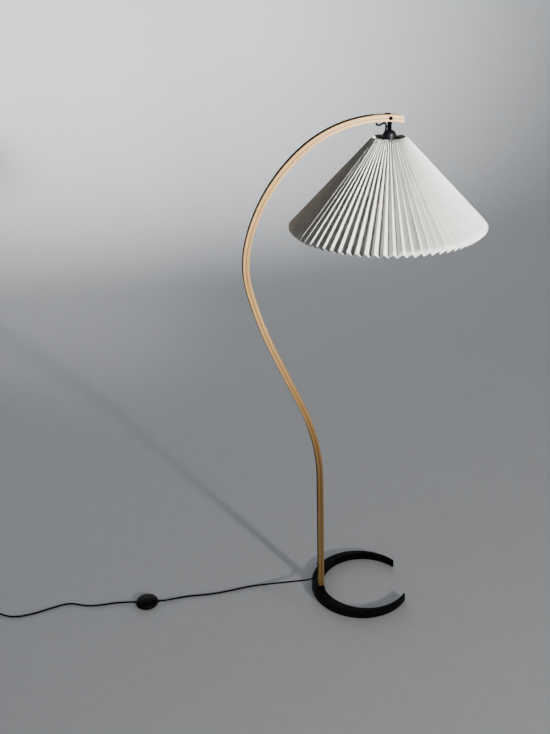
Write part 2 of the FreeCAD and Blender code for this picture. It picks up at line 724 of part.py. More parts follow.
def bulb_glass():
    """A thin hollow bulb, open inside its cap."""
    top = below_pivot(BULB_TOP) - 4.6 - 24.0
    middle = below_pivot(BULB_BOTTOM) + BULB_R
    skins = []
    for shrink, lift in ((0.0, 0.0), (BULB_WALL, 1.0)):
        curve = [(12.6 - shrink, top + lift), (14.5 - shrink, top - 9), (20.0 - shrink, top - 24),
                 (27.2 - shrink, top - 38), (BULB_R - shrink, middle)]
        neck = spline_turned([(0, middle), (0, top + lift)], curve, PIVOT_X)
        ball = Part.makeSphere(BULB_R - shrink, Vector(PIVOT_X, 0, middle))
        skins.append(neck.fuse(ball.common(cylinder(BULB_R + 1, middle - BULB_R - 1, middle, PIVOT_X))))
    return skins[0].cut(skins[1])


# ---------------------------------------------------------------- shade and its carrier
def shade():
    run = SHADE_RIM_R - SHADE_TOP_R
    drop = SHADE_TOP_Z - SHADE_RIM_Z
    slant = math.hypot(run, drop)
    inward_r = SHADE_T * drop / slant
    inward_z = SHADE_T * run / slant
    outline = [(SHADE_TOP_R, SHADE_TOP_Z), (SHADE_RIM_R, SHADE_RIM_Z),
               (SHADE_RIM_R - inward_r, SHADE_RIM_Z - inward_z),
               (SHADE_TOP_R - inward_r, SHADE_TOP_Z - inward_z)]
    return turned(outline, PIVOT_X)


def shade_carrier():
    """Hub clamped by the ring nut, three spokes, and the hoop that the pleats are fixed to."""
    hub_top = below_pivot(FLANGE_TOP) - FLANGE_T
    carrier = tube(HUB_R, BODY_R + RUNNING_FIT, hub_top - HUB_T, hub_top, PIVOT_X)
    hoop = Part.makeTorus(HOOP_R, HOOP_WIRE_R, Vector(PIVOT_X, 0, HOOP_Z), UP)
    carrier = carrier.fuse(hoop)
    start_z = hub_top - HUB_T / 2.0
    for k in range(SPOKES):
        turn = 2 * math.pi * k / SPOKES + math.radians(30)
        ahead = Vector(math.cos(turn), math.sin(turn), 0)
        start = Vector(PIVOT_X, 0, start_z) + ahead * (HUB_R - 2.0)
        end = Vector(PIVOT_X, 0, HOOP_Z) + ahead * HOOP_R
        carrier = carrier.fuse(Part.makeCylinder(1.0, (end - start).Length, start, end - start))
    return carrier


# ---------------------------------------------------------------- foot switch
def at_switch(shape):
    """Move a shape made about the switch's own centre, cord along X, to its place."""
    shape.rotate(Vector(0, 0, 0), UP, SWITCH_TURN)
    shape.translate(Vector(SWITCH_X, SWITCH_Y, 0))
    return shape


def switch_gland_hole(side):
    start = Vector(side * (SWITCH_R - 9), 0, SWITCH_CORD_Z)
    return Part.makeCylinder(4.2, 20, start, Vector(side, 0, 0))


def switch_base():
    tray = turned([(0, SWITCH_FOOT_T), (SWITCH_R - 1.5, SWITCH_FOOT_T), (SWITCH_R, SWITCH_FOOT_T + 2.0),
                   (SWITCH_R, SWITCH_SPLIT_Z), (SWITCH_R - SWITCH_WALL, SWITCH_SPLIT_Z),
                   (SWITCH_R - SWITCH_WALL, SWITCH_FOOT_T + SWITCH_WALL), (0, SWITCH_FOOT_T + SWITCH_WALL)])
    for side in (-1, 1):
        tray = tray.cut(switch_gland_hole(side))
    for x, y in switch_screw_places():
        tray = tray.cut(cylinder(1.6, 0, 10, x, y)).cut(cylinder(2.8, 0, SWITCH_FOOT_T + 1.0, x, y))
    return at_switch(tray)


def switch_screw_places():
    return [(14.0 * math.cos(t), 22.0 * math.sin(t)) for t in (math.radians(60), math.radians(240))]


def cover_profile(shrink):
    top = SWITCH_TOP - shrink
    return [(SWITCH_R - shrink, SWITCH_SPLIT_Z), (SWITCH_R - shrink - 1.1, 11.5), (SWITCH_R - shrink - 5.0, 15.6),
            (SWITCH_R - shrink - 13.0, top - 1.3), (BUTTON_R + 2.0, top)]


def switch_cover():
    axis = [(0, SWITCH_TOP), (0, SWITCH_SPLIT_Z)]
    outer = spline_turned(axis, cover_profile(0.0))
    inner_low = [(0, SWITCH_TOP - SWITCH_WALL), (0, SWITCH_SPLIT_Z)]
    inner = spline_turned(inner_low, cover_profile(SWITCH_WALL))
    cover = outer.cut(inner)
    cover = cover.cut(cylinder(BUTTON_R + BUTTON_GAP, 0, SWITCH_TOP + 5))
    for side in (-1, 1):
        cover = cover.cut(switch_gland_hole(side))
    for x, y in switch_screw_places():
        boss = tube(3.6, 1.5, SWITCH_FOOT_T + SWITCH_WALL, SWITCH_TOP - SWITCH_WALL - 0.2, x, y)
        cover = cover.fuse(boss)
    return at_switch(cover)


def switch_screw(x, y):
    low = SWITCH_FOOT_T
    screw = cylinder(1.5, low, low + 9, x, y).fuse(cylinder(2.8, low, low + 1.0, x, y))
    slot = block(x - 3, x + 3, y - 0.3, y + 0.3, low - 1, low + 0.5)
    return at_switch(screw.cut(slot))


def switch_foot(k):
    turn = math.radians(90 * k + 45)
    return at_switch(cylinder(5.0, 0, SWITCH_FOOT_T, 25 * math.cos(turn), 25 * math.sin(turn)))


def contact_block():
    floor = SWITCH_FOOT_T + SWITCH_WALL
    body = block(-13, 13, -7, 7, floor, floor + 6.5)
    body = body.cut(cylinder(5.6, floor + 5.0, floor + 8))
    return at_switch(body)


def switch_button():
    top = SWITCH_TOP + BUTTON_PROUD
    skirt = SWITCH_TOP - SWITCH_WALL - BUTTON_TRAVEL
    outline = [(0, top), (BUTTON_R - 3.0, top - 0.2), (BUTTON_R - 0.9, top - 0.9), (BUTTON_R, top - 2.0),
               (BUTTON_R, skirt), (0, skirt)]
    return at_switch(turned(outline))


def button_spring():
    """A folded leaf spring between the contact block and the button."""
    floor = SWITCH_FOOT_T + SWITCH_WALL + 5.0 + 0.05
    skirt = SWITCH_TOP - SWITCH_WALL - BUTTON_TRAVEL - 0.05
    leaf = 0.4
    rise = (skirt - floor - leaf) / 4.0
    reach = 4.2
    spring = None
    for k in range(4):
        side = -1 if k % 2 == 0 else 1
        low = floor + rise * k
        corners = [(side * reach, low), (-side * reach, low + rise), (-side * reach, low + rise + leaf),
                   (side * reach, low + leaf)]
        wire = Part.makePolygon([Vector(x, -2.5, z) for x, z in corners + corners[:1]])
        fold = Part.Face(wire).extrude(Vector(0, 5.0, 0))
        spring = fold if spring is None else spring.fuse(fold)
    return at_switch(spring.removeSplitter())


def switch_gland(side):
    """A tapered relief round the cord at one side of the switch."""
    start = SWITCH_R - 6.0
    cone = Part.makeCone(4.1, 3.5, GLAND_LEN, Vector(side * start, 0, SWITCH_CORD_Z), Vector(side, 0, 0))
    bore = Part.makeCylinder(CORD_R, GLAND_LEN + 2, Vector(side * (start - 1), 0, SWITCH_CORD_Z), Vector(side, 0, 0))
    flange = Part.makeCylinder(5.2, 1.5, Vector(side * (start - 1.5), 0, SWITCH_CORD_Z), Vector(side, 0, 0))
    flange = flange.common(block(-SWITCH_R, SWITCH_R, -10, 10, SWITCH_FOOT_T + SWITCH_WALL, SWITCH_TOP))
    return at_switch(cone.fuse(flange).cut(bore))


def switch_cord_point(side, beyond):
    """A point on the cord's line through the switch, beyond its rim on one side."""
    turn = math.radians(SWITCH_TURN)
    reach = side * (SWITCH_R + beyond)
    return (SWITCH_X + reach * math.cos(turn), SWITCH_Y + reach * math.sin(turn), SWITCH_CORD_Z)


def cord_to_switch():
    points = CORD_TO_SWITCH + [switch_cord_point(-1, 17.0), switch_cord_point(-1, -7.0)]
    return cord_tube("cord_to_switch", points)


def cord_to_coil():
    points = [switch_cord_point(1, -7.0), switch_cord_point(1, 17.0)] + CORD_TO_COIL
    return cord_tube("cord_to_coil", points)


# ---------------------------------------------------------------- coil and plug
def cord_coil():
    soft = 3.5
    ring = turned([(COIL_MID_R - COIL_HALF_W, COIL_LOW), (COIL_MID_R + COIL_HALF_W, COIL_LOW),
                   (COIL_MID_R + COIL_HALF_W, COIL_HIGH), (COIL_MID_R - COIL_HALF_W, COIL_HIGH)], COIL_X, COIL_Y)
    top = [e for e in ring.Edges if e.BoundBox.ZMin > COIL_HIGH - 0.01 and e.BoundBox.XLength > 1]
    return ring.makeFillet(soft, top)


def coil_tie():
    outer = block(COIL_MID_R - COIL_HALF_W - TIE_T, COIL_MID_R + COIL_HALF_W + TIE_T, -TIE_W / 2.0, TIE_W / 2.0,
                  COIL_LOW - TIE_T, COIL_HIGH + TIE_T)
    outer = outer.makeFillet(3.0, [e for e in outer.Edges if e.BoundBox.ZMin > COIL_HIGH and e.BoundBox.YLength > 1])
    outer.rotate(Vector(0, 0, 0), UP, TIE_ANGLE)
    outer.translate(Vector(COIL_X, COIL_Y, 0))
    return outer.cut(cord_coil())


def at_plug(shape):
    """Move a shape made with the plug's pins along +X to the plug's place."""
    shape.rotate(Vector(0, 0, 0), UP, PLUG_TURN)
    shape.translate(Vector(PLUG_X, PLUG_Y, 0))
    return shape


def plug_body():
    half = PLUG_W / 2.0
    outline = [(0, -7.0), (PLUG_L * 0.45, -half), (PLUG_L, -half), (PLUG_L, half), (PLUG_L * 0.45, half), (0, 7.0)]
    wire = Part.makePolygon([Vector(x, y, 0.2) for x, y in outline + outline[:1]])
    body = Part.Face(wire).extrude(Vector(0, 0, PLUG_H))
    body = body.makeFillet(2.5, [e for e in body.Edges if e.BoundBox.XMax < PLUG_L - 0.1])
    return at_plug(body)


def plug_pin(y):
    z = 0.2 + PLUG_H / 2.0
    pin = Part.makeCylinder(PIN_R, PIN_LEN - PIN_R, Vector(PLUG_L, y, z), Vector(1, 0, 0))
    return at_plug(pin.fuse(Part.makeSphere(PIN_R, Vector(PLUG_L + PIN_LEN - PIN_R, y, z))))


def plug_relief():
    z = 0.2 + PLUG_H / 2.0
    cone = Part.makeCone(3.4, 5.2, RELIEF_LEN, Vector(-RELIEF_LEN, 0, z), Vector(1, 0, 0))
    return at_plug(cone.cut(Part.makeCylinder(CORD_R, 10, Vector(-RELIEF_LEN - 1, 0, z), Vector(1, 0, 0))))


def plug_lead():
    z = 0.2 + PLUG_H / 2.0
    turn = math.radians(PLUG_TURN)
    ends = []
    for back in (RELIEF_LEN + 4.0, RELIEF_LEN - 9.0):
        ends.append((PLUG_X - back * math.cos(turn), PLUG_Y - back * math.sin(turn), z))
    return cord_tube("plug_lead", PLUG_LEAD + ends)


# ---------------------------------------------------------------- whole lamp
def main():
    os.makedirs(STEP_FOLDER, exist_ok=True)
    print("arm middle line at z = %.1f, arm top at z = %.1f" % (ARM_Z, ARM_TOP))

    save("base_casting", base_casting())
    save("base_underlay", horseshoe(0.0, UNDERLAY_T, UNDERLAY_INSET))
    save("stem_bolts", compound([stem_bolt(-STEM_BOLT_Y), stem_bolt(STEM_BOLT_Y)]))
    save("stem_inserts", compound([stem_insert(-STEM_BOLT_Y), stem_insert(STEM_BOLT_Y)]))

    outer_face = STEM_T / 2.0
    core_face = outer_face - OUTER_PLY
    inner_face = core_face - CORE_PLY
    cutters = stem_cutters()
    save("stem_outer_ply", ply(outer_face, core_face, outer_face).cut(cutters))
    save("stem_core_ply", ply(core_face, inner_face).cut(cutters))
    save("stem_inner_ply", ply(inner_face, -outer_face, -outer_face).cut(cutters))

    save("stem_cord", sweep_round(stem_cord_wire(CORD_LEAVES_Z, HEAD_LOOP[0][2]), CORD_R))
    save("cord_clip", cord_clip())
    save("cord_clip_screws", compound([clip_screw(-CLIP_SCREW_Y), clip_screw(CLIP_SCREW_Y)]))
    save("pivot_bolt", pivot_bolt())
    save("pivot_nut", pivot_nut())
    save("friction_washers", compound([friction_washer(-1), friction_washer(1)]))

    save("pivot_tongue", pivot_tongue())
    save("neck_tube", neck_tube())
    save("neck_locknut", neck_locknut())
    save("lampholder_cap", lampholder_cap())
    save("cord_grip", cord_grip())
    save("holder_cord", inner_cord())
    save("lampholder_body", lampholder_body())
    save("insulator_block", insulator_block())
    save("screw_shell", screw_shell())
    save("centre_contact", centre_contact())
    save("terminal_screws", compound([terminal_screw(-9.0), terminal_screw(9.0)]))
    save("shade_ring_nut", shade_ring_nut())
    save("shade_carrier", shade_carrier())
    save("shade", shade())
    save("head_cord", cord_tube("head_cord", HEAD_LOOP, HEAD_LOOP_R))
    save("bulb_cap", bulb_cap())
    save("bulb_contact", bulb_contact())
    save("bulb_glass", bulb_glass())

    save("switch_base", switch_base())
    save("switch_cover", switch_cover())
    save("switch_screws", compound([switch_screw(x, y) for x, y in switch_screw_places()]))
    save("switch_feet", compound([switch_foot(k) for k in range(4)]))
    save("switch_contact_block", contact_block())
    save("switch_button", switch_button())
    save("button_spring", button_spring())
    save("switch_gland_in", switch_gland(-1))
    save("switch_gland_out", switch_gland(1))
    save("cord_to_switch", cord_to_switch())
    save("cord_to_coil", cord_to_coil())
    save("cord_coil", cord_coil())
    save("coil_tie", coil_tie())
    save("plug_lead", plug_lead())
    save("plug_relief", plug_relief())
    save("plug_body", plug_body())
    save("plug_pins", compound([plug_pin(-PIN_GAP / 2.0), plug_pin(PIN_GAP / 2.0)]))


main()
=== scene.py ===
import json
import math
import random

import bmesh
import bpy
import numpy as np
from mathutils import Matrix, Vector


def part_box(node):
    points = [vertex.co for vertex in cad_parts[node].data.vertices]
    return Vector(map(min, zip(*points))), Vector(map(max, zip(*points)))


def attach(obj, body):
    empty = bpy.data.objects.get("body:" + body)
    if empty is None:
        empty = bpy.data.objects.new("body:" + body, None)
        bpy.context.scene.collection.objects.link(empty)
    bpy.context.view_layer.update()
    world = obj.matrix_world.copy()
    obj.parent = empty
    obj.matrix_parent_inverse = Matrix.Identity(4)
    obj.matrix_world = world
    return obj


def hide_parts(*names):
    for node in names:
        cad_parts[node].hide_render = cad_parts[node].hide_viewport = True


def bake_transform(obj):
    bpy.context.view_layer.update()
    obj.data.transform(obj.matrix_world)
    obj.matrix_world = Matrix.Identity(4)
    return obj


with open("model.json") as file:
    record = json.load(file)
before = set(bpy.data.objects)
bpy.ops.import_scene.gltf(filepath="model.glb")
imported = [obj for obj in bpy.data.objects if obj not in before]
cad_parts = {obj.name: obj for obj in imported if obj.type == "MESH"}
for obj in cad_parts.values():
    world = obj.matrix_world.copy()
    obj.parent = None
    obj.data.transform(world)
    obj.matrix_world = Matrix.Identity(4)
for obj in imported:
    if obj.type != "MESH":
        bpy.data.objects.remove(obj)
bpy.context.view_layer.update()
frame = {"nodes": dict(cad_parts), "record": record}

nodes = frame["nodes"]
rnd = random.Random(11)

# ---------------------------------------------------------------- camera
LENS_MM = 42.96
EYE = (-0.320, -2.329, 1.922)
YAW = 0.081
PITCH = 0.436              # down from level
ROLL = -0.032


def make_camera():
    data = bpy.data.cameras.new("camera")
    data.sensor_width = 36.0
    data.lens = LENS_MM
    camera = bpy.data.objects.new("camera", data)
    bpy.context.scene.collection.objects.link(camera)
    ahead = Vector((math.sin(YAW) * math.cos(PITCH), math.cos(YAW) * math.cos(PITCH), -math.sin(PITCH)))
    right = Vector((math.cos(YAW), -math.sin(YAW), 0.0))
    up = right.cross(ahead)
    side = right * math.cos(ROLL) + up * math.sin(ROLL)
    top = up * math.cos(ROLL) - right * math.sin(ROLL)
    place = Matrix((side, top, -ahead)).transposed().to_4x4()
    place.translation = Vector(EYE)
    camera.matrix_world = place
    bpy.context.scene.camera = camera


make_camera()

# ---------------------------------------------------------------- cords
CORD_D = 0.0056

# From the slot at the stem's foot to the switch.
TO_SWITCH = [
    (-0.0084, 0.0, 0.092), (-0.0084, 0.0, 0.067), (-0.025, 0.003, 0.046), (-0.052, 0.008, 0.037),
    (-0.090, 0.018, 0.0285), (-0.132, 0.031, 0.0175), (-0.172, 0.0415, 0.0075), (-0.210, 0.046, 0.0032),
    (-0.250, 0.0415, 0.0029), (-0.300, 0.0305, 0.003), (-0.350, 0.0225, 0.0029), (-0.396, 0.0195, 0.003),
    (-0.438, 0.0205, 0.0029), (-0.474, 0.016, 0.003), (-0.501, 0.0095, 0.0044), (-0.52713, 0.0013, 0.0075),
    (-0.55107, 0.00298, 0.0075),
]

# From the switch to the coil.
TO_COIL = [
    (-0.60893, 0.00702, 0.0075), (-0.63287, 0.0087, 0.0075), (-0.658, 0.0145, 0.0042), (-0.684, 0.017, 0.003),
    (-0.718, 0.0135, 0.0029), (-0.760, 0.0115, 0.003), (-0.793, 0.0185, 0.0029), (-0.822, 0.031, 0.003),
    (-0.850, 0.033, 0.0029), (-0.890, 0.020, 0.003), (-0.934, 0.0025, 0.0029), (-0.976, -0.0085, 0.003),
    (-1.010, -0.0105, 0.0029), (-1.038, -0.0015, 0.003), (-1.066, 0.0155, 0.0032),
]

# From the top of the coil to the plug.
PLUG_LEAD = [
    (-1.138, 0.0456, 0.0136), (-1.157, 0.0446, 0.0114), (-1.178, 0.0436, 0.008), (-1.19607, 0.04309, 0.007),
    (-1.20904, 0.04219, 0.007),
]

# The loop between the arm and the lampholder.
HEAD_LOOP = [
    (0.157, 0.0, 1.5275), (0.157, 0.0, 1.5222), (0.1592, 0.0, 1.5168), (0.1665, 0.0, 1.5157),
    (0.1738, 0.0, 1.5202), (0.1808, 0.0, 1.5216), (0.1840, 0.0, 1.5158), (0.1839, 0.0, 1.5085),
    (0.1832, 0.0, 1.5010),
]


def curve_piece(name, points, radius):
    """A round cord on one smooth spline with the given control points."""
    curve = bpy.data.curves.new(name, "CURVE")
    curve.dimensions = "3D"
    spline = curve.splines.new("NURBS")
    spline.points.add(len(points) - 1)
    for point, place in zip(spline.points, points):
        point.co = (*place, 1.0)
        point.radius = radius
    spline.order_u = 3
    spline.use_endpoint_u = True
    curve.resolution_u = 8
    curve.bevel_depth = 1.0
    curve.bevel_resolution = 5
    curve.use_fill_caps = True
    piece = bpy.data.objects.new(name, curve)
    bpy.context.scene.collection.objects.link(piece)
    return piece


COIL_TURN_R = [0.0366, 0.031, 0.0254, 0.0282, 0.0338, 0.031]
COIL_TURN_Z = [0.0040, 0.0040, 0.0040, 0.0094, 0.0094, 0.0148]
COIL_START = math.radians(37)
COIL_STEPS = 18
COIL_SPREAD = 1.012        # the spline runs a little inside its control points
STEP_FROM = 0.72           # share of a turn after which the cord moves over to the next


def coil_centre():
    low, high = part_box("cord_coil")
    return (low + high) / 2.0


def smooth(t):
    """0 to 1 with a soft start and end."""
    t = min(max(t, 0.0), 1.0)
    return t * t * (3.0 - 2.0 * t)


def coil_points():
    """Six turns, three below, two on them and one on top, ending level with the plug's lead."""
    centre = coil_centre()
    places = []
    last = len(COIL_TURN_R) * COIL_STEPS + 2
    for k in range(last + 1):
        turn = k / COIL_STEPS
        here = min(int(turn), len(COIL_TURN_R) - 1)
        following = min(here + 1, len(COIL_TURN_R) - 1)
        step = smooth((turn - here - STEP_FROM) / (1.0 - STEP_FROM)) if turn < len(COIL_TURN_R) else 1.0
        radius = COIL_TURN_R[here] + (COIL_TURN_R[following] - COIL_TURN_R[here]) * step
        height = COIL_TURN_Z[here] + (COIL_TURN_Z[following] - COIL_TURN_Z[here]) * step
        radius *= COIL_SPREAD
        angle = COIL_START + 2.0 * math.pi * turn
        places.append((centre.x + radius * math.cos(angle), centre.y + radius * math.sin(angle), height))
    return places


stem_lead = curve_piece("cord_stem_to_switch", TO_SWITCH, CORD_D / 2)
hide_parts("cord_to_switch")
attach(stem_lead, "stand")

plug_cord = curve_piece("cord_switch_to_plug", TO_COIL + coil_points() + PLUG_LEAD, CORD_D / 2)
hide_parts("cord_to_coil", "cord_coil", "plug_lead")
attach(plug_cord, "stand")


def tube_mesh(name, points, radius):
    """A mesh tube on the route's spline, and the points that it follows."""
    route = curve_piece(name + "_route", points, radius)
    route.data.bevel_depth = 0.0
    path = [tuple(v.co) for v in bpy.data.meshes.new_from_object(route).vertices]
    route.data.bevel_depth = 1.0
    mesh = bpy.data.meshes.new_from_object(route)
    piece = bpy.data.objects.new(name, mesh)
    bpy.context.scene.collection.objects.link(piece)
    bpy.data.objects.remove(route)
    for face in mesh.polygons:
        face.use_smooth = True
    return piece, path


head_loop, head_path = tube_mesh("cord_head_loop", HEAD_LOOP, CORD_D / 2)
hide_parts("head_cord")
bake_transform(head_loop)


# ---------------------------------------------------------------- materials
class Shader:
    """A Principled material with its node tree at hand."""

    def __init__(self, name, roughness=0.5, metallic=0.0, coat=0.0, coat_roughness=0.1, specular=0.5):
        self.material = bpy.data.materials.new(name)
        self.material.use_nodes = True
        self.tree = self.material.node_tree
        self.bsdf = self.tree.nodes["Principled BSDF"]
        self.bsdf.inputs["Roughness"].default_value = roughness
        self.bsdf.inputs["Metallic"].default_value = metallic
        self.bsdf.inputs["Coat Weight"].default_value = coat
        self.bsdf.inputs["Coat Roughness"].default_value = coat_roughness
        self.bsdf.inputs["Specular IOR Level"].default_value = specular

    def node(self, kind, **values):
        made = self.tree.nodes.new(kind)
        for key, value in values.items():
            if key in made.inputs:
                made.inputs[key].default_value = value
            else:
                setattr(made, key, value)
        return made

    def link(self, a, b):
        self.tree.links.new(a, b)

    def position(self, scale=(1.0, 1.0, 1.0), attribute=None):
        """The point on the object in metres, or a stored attribute, times a scale."""
        if attribute:
            source = self.node("ShaderNodeAttribute", attribute_name=attribute).outputs["Vector"]
        else:
            source = self.node("ShaderNodeTexCoord").outputs["Object"]
        mapping = self.node("ShaderNodeMapping", Scale=scale)
        self.link(source, mapping.inputs["Vector"])
        return mapping.outputs["Vector"]

    def noise(self, vector, scale=1.0, detail=4.0, rough=0.55, distortion=0.0):
        noise = self.node("ShaderNodeTexNoise", Scale=scale, Detail=detail, Roughness=rough,
                          Distortion=distortion)
        self.link(vector, noise.inputs["Vector"])
        return noise.outputs["Fac"]

    def ramp(self, factor, stops):
        ramp = self.node("ShaderNodeValToRGB")
        ramp.color_ramp.elements[0].position = stops[0][0]
        ramp.color_ramp.elements[0].color = (*stops[0][1], 1.0)
        ramp.color_ramp.elements[1].position = stops[-1][0]
        ramp.color_ramp.elements[1].color = (*stops[-1][1], 1.0)
        for place, colour in stops[1:-1]:
            ramp.color_ramp.elements.new(place).color = (*colour, 1.0)
        self.link(factor, ramp.inputs["Fac"])
        return ramp.outputs["Color"]

    def grey(self, factor, low, high, start=0.0, end=1.0):
        remap = self.node("ShaderNodeMapRange")
        for index, value in enumerate((start, end, low, high)):
            remap.inputs[index + 1].default_value = value
        self.link(factor, remap.inputs["Value"])
        return remap.outputs["Result"]

    def mix(self, a, b, factor, blend="MIX"):
        mixer = self.node("ShaderNodeMix", data_type="RGBA", blend_type=blend)
        for value, socket in ((factor, mixer.inputs[0]), (a, mixer.inputs[6]), (b, mixer.inputs[7])):
            if isinstance(value, (float, int)):
                socket.default_value = value
            elif isinstance(value, tuple):
                socket.default_value = (*value, 1.0)
            else:
                self.link(value, socket)
        return mixer.outputs[2]

    def colour(self, output):
        self.link(output, self.bsdf.inputs["Base Color"])

    def roughness(self, output):
        self.link(output, self.bsdf.inputs["Roughness"])

    def bump(self, height, distance, strength=1.0):
        bump = self.node("ShaderNodeBump", Strength=strength, Distance=distance)
        self.link(height, bump.inputs["Height"])
        self.link(bump.outputs["Normal"], self.bsdf.inputs["Normal"])


def speckled(name, dark, light, scale, roughness, bump=0.0, spread=0.12, metallic=0.0, coat=0.0, specular=0.5,
             broad=9.0):
    """A plain surface with fine grain, slow colour drift and uneven gloss."""
    shader = Shader(name, roughness=roughness, metallic=metallic, coat=coat, specular=specular)
    place = shader.position()
    fine = shader.noise(place, scale=scale, detail=3.0)
    slow = shader.noise(place, scale=broad, detail=3.0)
    both = shader.grey(shader.mix(fine, slow, 0.5), 0.0, 1.0, 0.3, 0.7)
    shader.colour(shader.ramp(both, [(0.0, dark), (1.0, light)]))
    shader.roughness(shader.grey(slow, roughness - spread, roughness + spread, 0.3, 0.7))
    if bump:
        shader.bump(fine, bump)
    return shader.material


def wood(name, pale, mid, deep, lines=True):
    """Laminated wood: long streaks along the stem, thin veneer lines through its thickness."""
    shader = Shader(name, roughness=0.42, coat=0.12, coat_roughness=0.35, specular=0.4)
    along = shader.position((3.0, 150.0, 420.0), "grain")
    streaks = shader.noise(along, scale=1.0, detail=6.0, rough=0.62, distortion=0.35)
    broad = shader.noise(shader.position((1.6, 22.0, 60.0), "grain"), scale=1.0, detail=3.0)
    pores = shader.noise(shader.position((28.0, 1500.0, 2600.0), "grain"), scale=1.0, detail=2.0, rough=0.7)
    body = shader.ramp(shader.grey(streaks, 0.0, 1.0, 0.28, 0.74), [(0.0, deep), (0.42, mid), (1.0, pale)])
    body = shader.mix(body, mid, shader.grey(broad, 0.0, 0.55, 0.4, 0.7))
    pore_tone = shader.ramp(shader.grey(pores, 0.0, 1.0, 0.52, 0.75),
                            [(0.0, (1.0, 1.0, 1.0)), (1.0, (0.80, 0.70, 0.60))])
    body = shader.mix(body, pore_tone, 1.0, "MULTIPLY")
    if lines:
        wave = shader.node("ShaderNodeTexWave", wave_type="BANDS", bands_direction="Z", wave_profile="SIN",
                           Scale=1.0, Distortion=0.6, Detail=1.0)
        wave.inputs["Detail Scale"].default_value = 0.6
        shader.link(shader.position((1.5, 12.0, 175.0), "grain"), wave.inputs["Vector"])
        glue = shader.grey(wave.outputs["Fac"], 0.0, 1.0, 0.86, 1.0)
        body = shader.mix(body, deep, shader.grey(glue, 0.0, 0.62))
    shader.colour(body)
    shader.roughness(shader.grey(streaks, 0.36, 0.52, 0.3, 0.7))
    shader.bump(shader.mix(streaks, pores, 0.5), 0.00012, 0.5)
    return shader.material


def brushed(name, dark, light, roughness, stretch):
    """Bare metal with fine drawn lines."""
    shader = Shader(name, roughness=roughness, metallic=1.0)
    lines = shader.noise(shader.position(stretch), scale=1.0, detail=3.0)
    shader.colour(shader.ramp(shader.grey(lines, 0.0, 1.0, 0.3, 0.7), [(0.0, dark), (1.0, light)]))
    shader.roughness(shader.grey(lines, roughness - 0.08, roughness + 0.1, 0.3, 0.7))
    return shader.material


def paper(name):
    """Matte off-white paper with fine fibres and faint clouding."""
    shader = Shader(name, roughness=0.88, specular=0.25)
    place = shader.position()
    fibres = shader.noise(place, scale=900.0, detail=4.0, rough=0.65)
    cloud = shader.noise(place, scale=38.0, detail=4.0)
    tone = shader.ramp(shader.grey(cloud, 0.0, 1.0, 0.3, 0.7),
                       [(0.0, (0.545, 0.537, 0.495)), (1.0, (0.60, 0.593, 0.56))])
    fleck = shader.ramp(shader.grey(fibres, 0.0, 1.0, 0.35, 0.7),
                        [(0.0, (0.955, 0.95, 0.94)), (1.0, (1.0, 1.0, 1.0))])
    shader.colour(shader.mix(tone, fleck, 1.0, "MULTIPLY"))
    shader.bump(fibres, 0.00008, 0.35)
    return shader.material


def glass(name):
    """Opal glass with a faint haze."""
    shader = Shader(name, roughness=0.32, coat=0.4, coat_roughness=0.12)
    haze = shader.noise(shader.position(), scale=60.0, detail=3.0)
    shader.colour(shader.ramp(haze, [(0.3, (0.90, 0.90, 0.88)), (0.7, (0.97, 0.97, 0.95))]))
    shader.bsdf.inputs["Transmission Weight"].default_value = 0.35
    return shader.material


def sheath(name):
    """A smooth cord sheath with a faint drawn texture."""
    shader = Shader(name, roughness=0.52, specular=0.06)
    fine = shader.noise(shader.position(), scale=420.0, detail=3.0)
    slow = shader.noise(shader.position(), scale=14.0, detail=2.0)
    shader.colour(shader.ramp(shader.grey(slow, 0.0, 1.0, 0.3, 0.7), [(0.0, (0.0014, 0.0014, 0.0017)),
                                                                    (1.0, (0.0034, 0.0034, 0.0038))]))
    shader.roughness(shader.grey(fine, 0.46, 0.60, 0.3, 0.7))
    shader.bump(fine, 0.00006, 0.5)
    return shader.material


PALE_WOOD = wood("beech", (0.60, 0.375, 0.145), (0.43, 0.245, 0.080), (0.19, 0.092, 0.026))
CORE_WOOD = wood("core_beech", (0.22, 0.115, 0.036), (0.155, 0.076, 0.023), (0.08, 0.037, 0.011), lines=False)
IRON = speckled("black_iron_paint", (0.0012, 0.0013, 0.0018), (0.0034, 0.0037, 0.0047), 900.0, 0.55,
                bump=0.00006, specular=0.12)
FELT = speckled("felt", (0.006, 0.006, 0.006), (0.025, 0.025, 0.026), 2200.0, 0.95, bump=0.0003, spread=0.03)
GLOSS_BLACK = speckled("black_enamel", (0.0008, 0.0008, 0.0010), (0.0020, 0.0020, 0.0023), 500.0, 0.08,
                       spread=0.02, specular=0.02)
BLACK_PLASTIC = speckled("black_plastic", (0.0022, 0.0022, 0.0028), (0.0052, 0.0052, 0.0064), 1400.0, 0.42,
                         bump=0.00003, spread=0.06, specular=0.14)
BUTTON_PLASTIC = speckled("button_plastic", (0.0035, 0.0035, 0.0042), (0.008, 0.008, 0.0095), 1400.0, 0.36,
                          bump=0.00003, spread=0.06, specular=0.2)
RUBBER = speckled("black_rubber", (0.004, 0.004, 0.004), (0.010, 0.010, 0.0105), 1100.0, 0.7, bump=0.00008,
                  specular=0.2)
SHEATH = sheath("cord_sheath")
ZINC = brushed("zinc_steel", (0.42, 0.42, 0.41), (0.66, 0.66, 0.64), 0.33, (900.0, 900.0, 90.0))
BRASS = brushed("brass", (0.56, 0.40, 0.16), (0.80, 0.62, 0.30), 0.28, (700.0, 700.0, 90.0))
ALUMINIUM = brushed("aluminium", (0.62, 0.62, 0.62), (0.84, 0.84, 0.84), 0.3, (900.0, 900.0, 120.0))
PORCELAIN = speckled("porcelain", (0.76, 0.74, 0.69), (0.88, 0.86, 0.82), 300.0, 0.16, spread=0.04, coat=0.5)
WIRE = speckled("black_wire_enamel", (0.006, 0.006, 0.006), (0.014, 0.014, 0.014), 400.0, 0.42, spread=0.05)
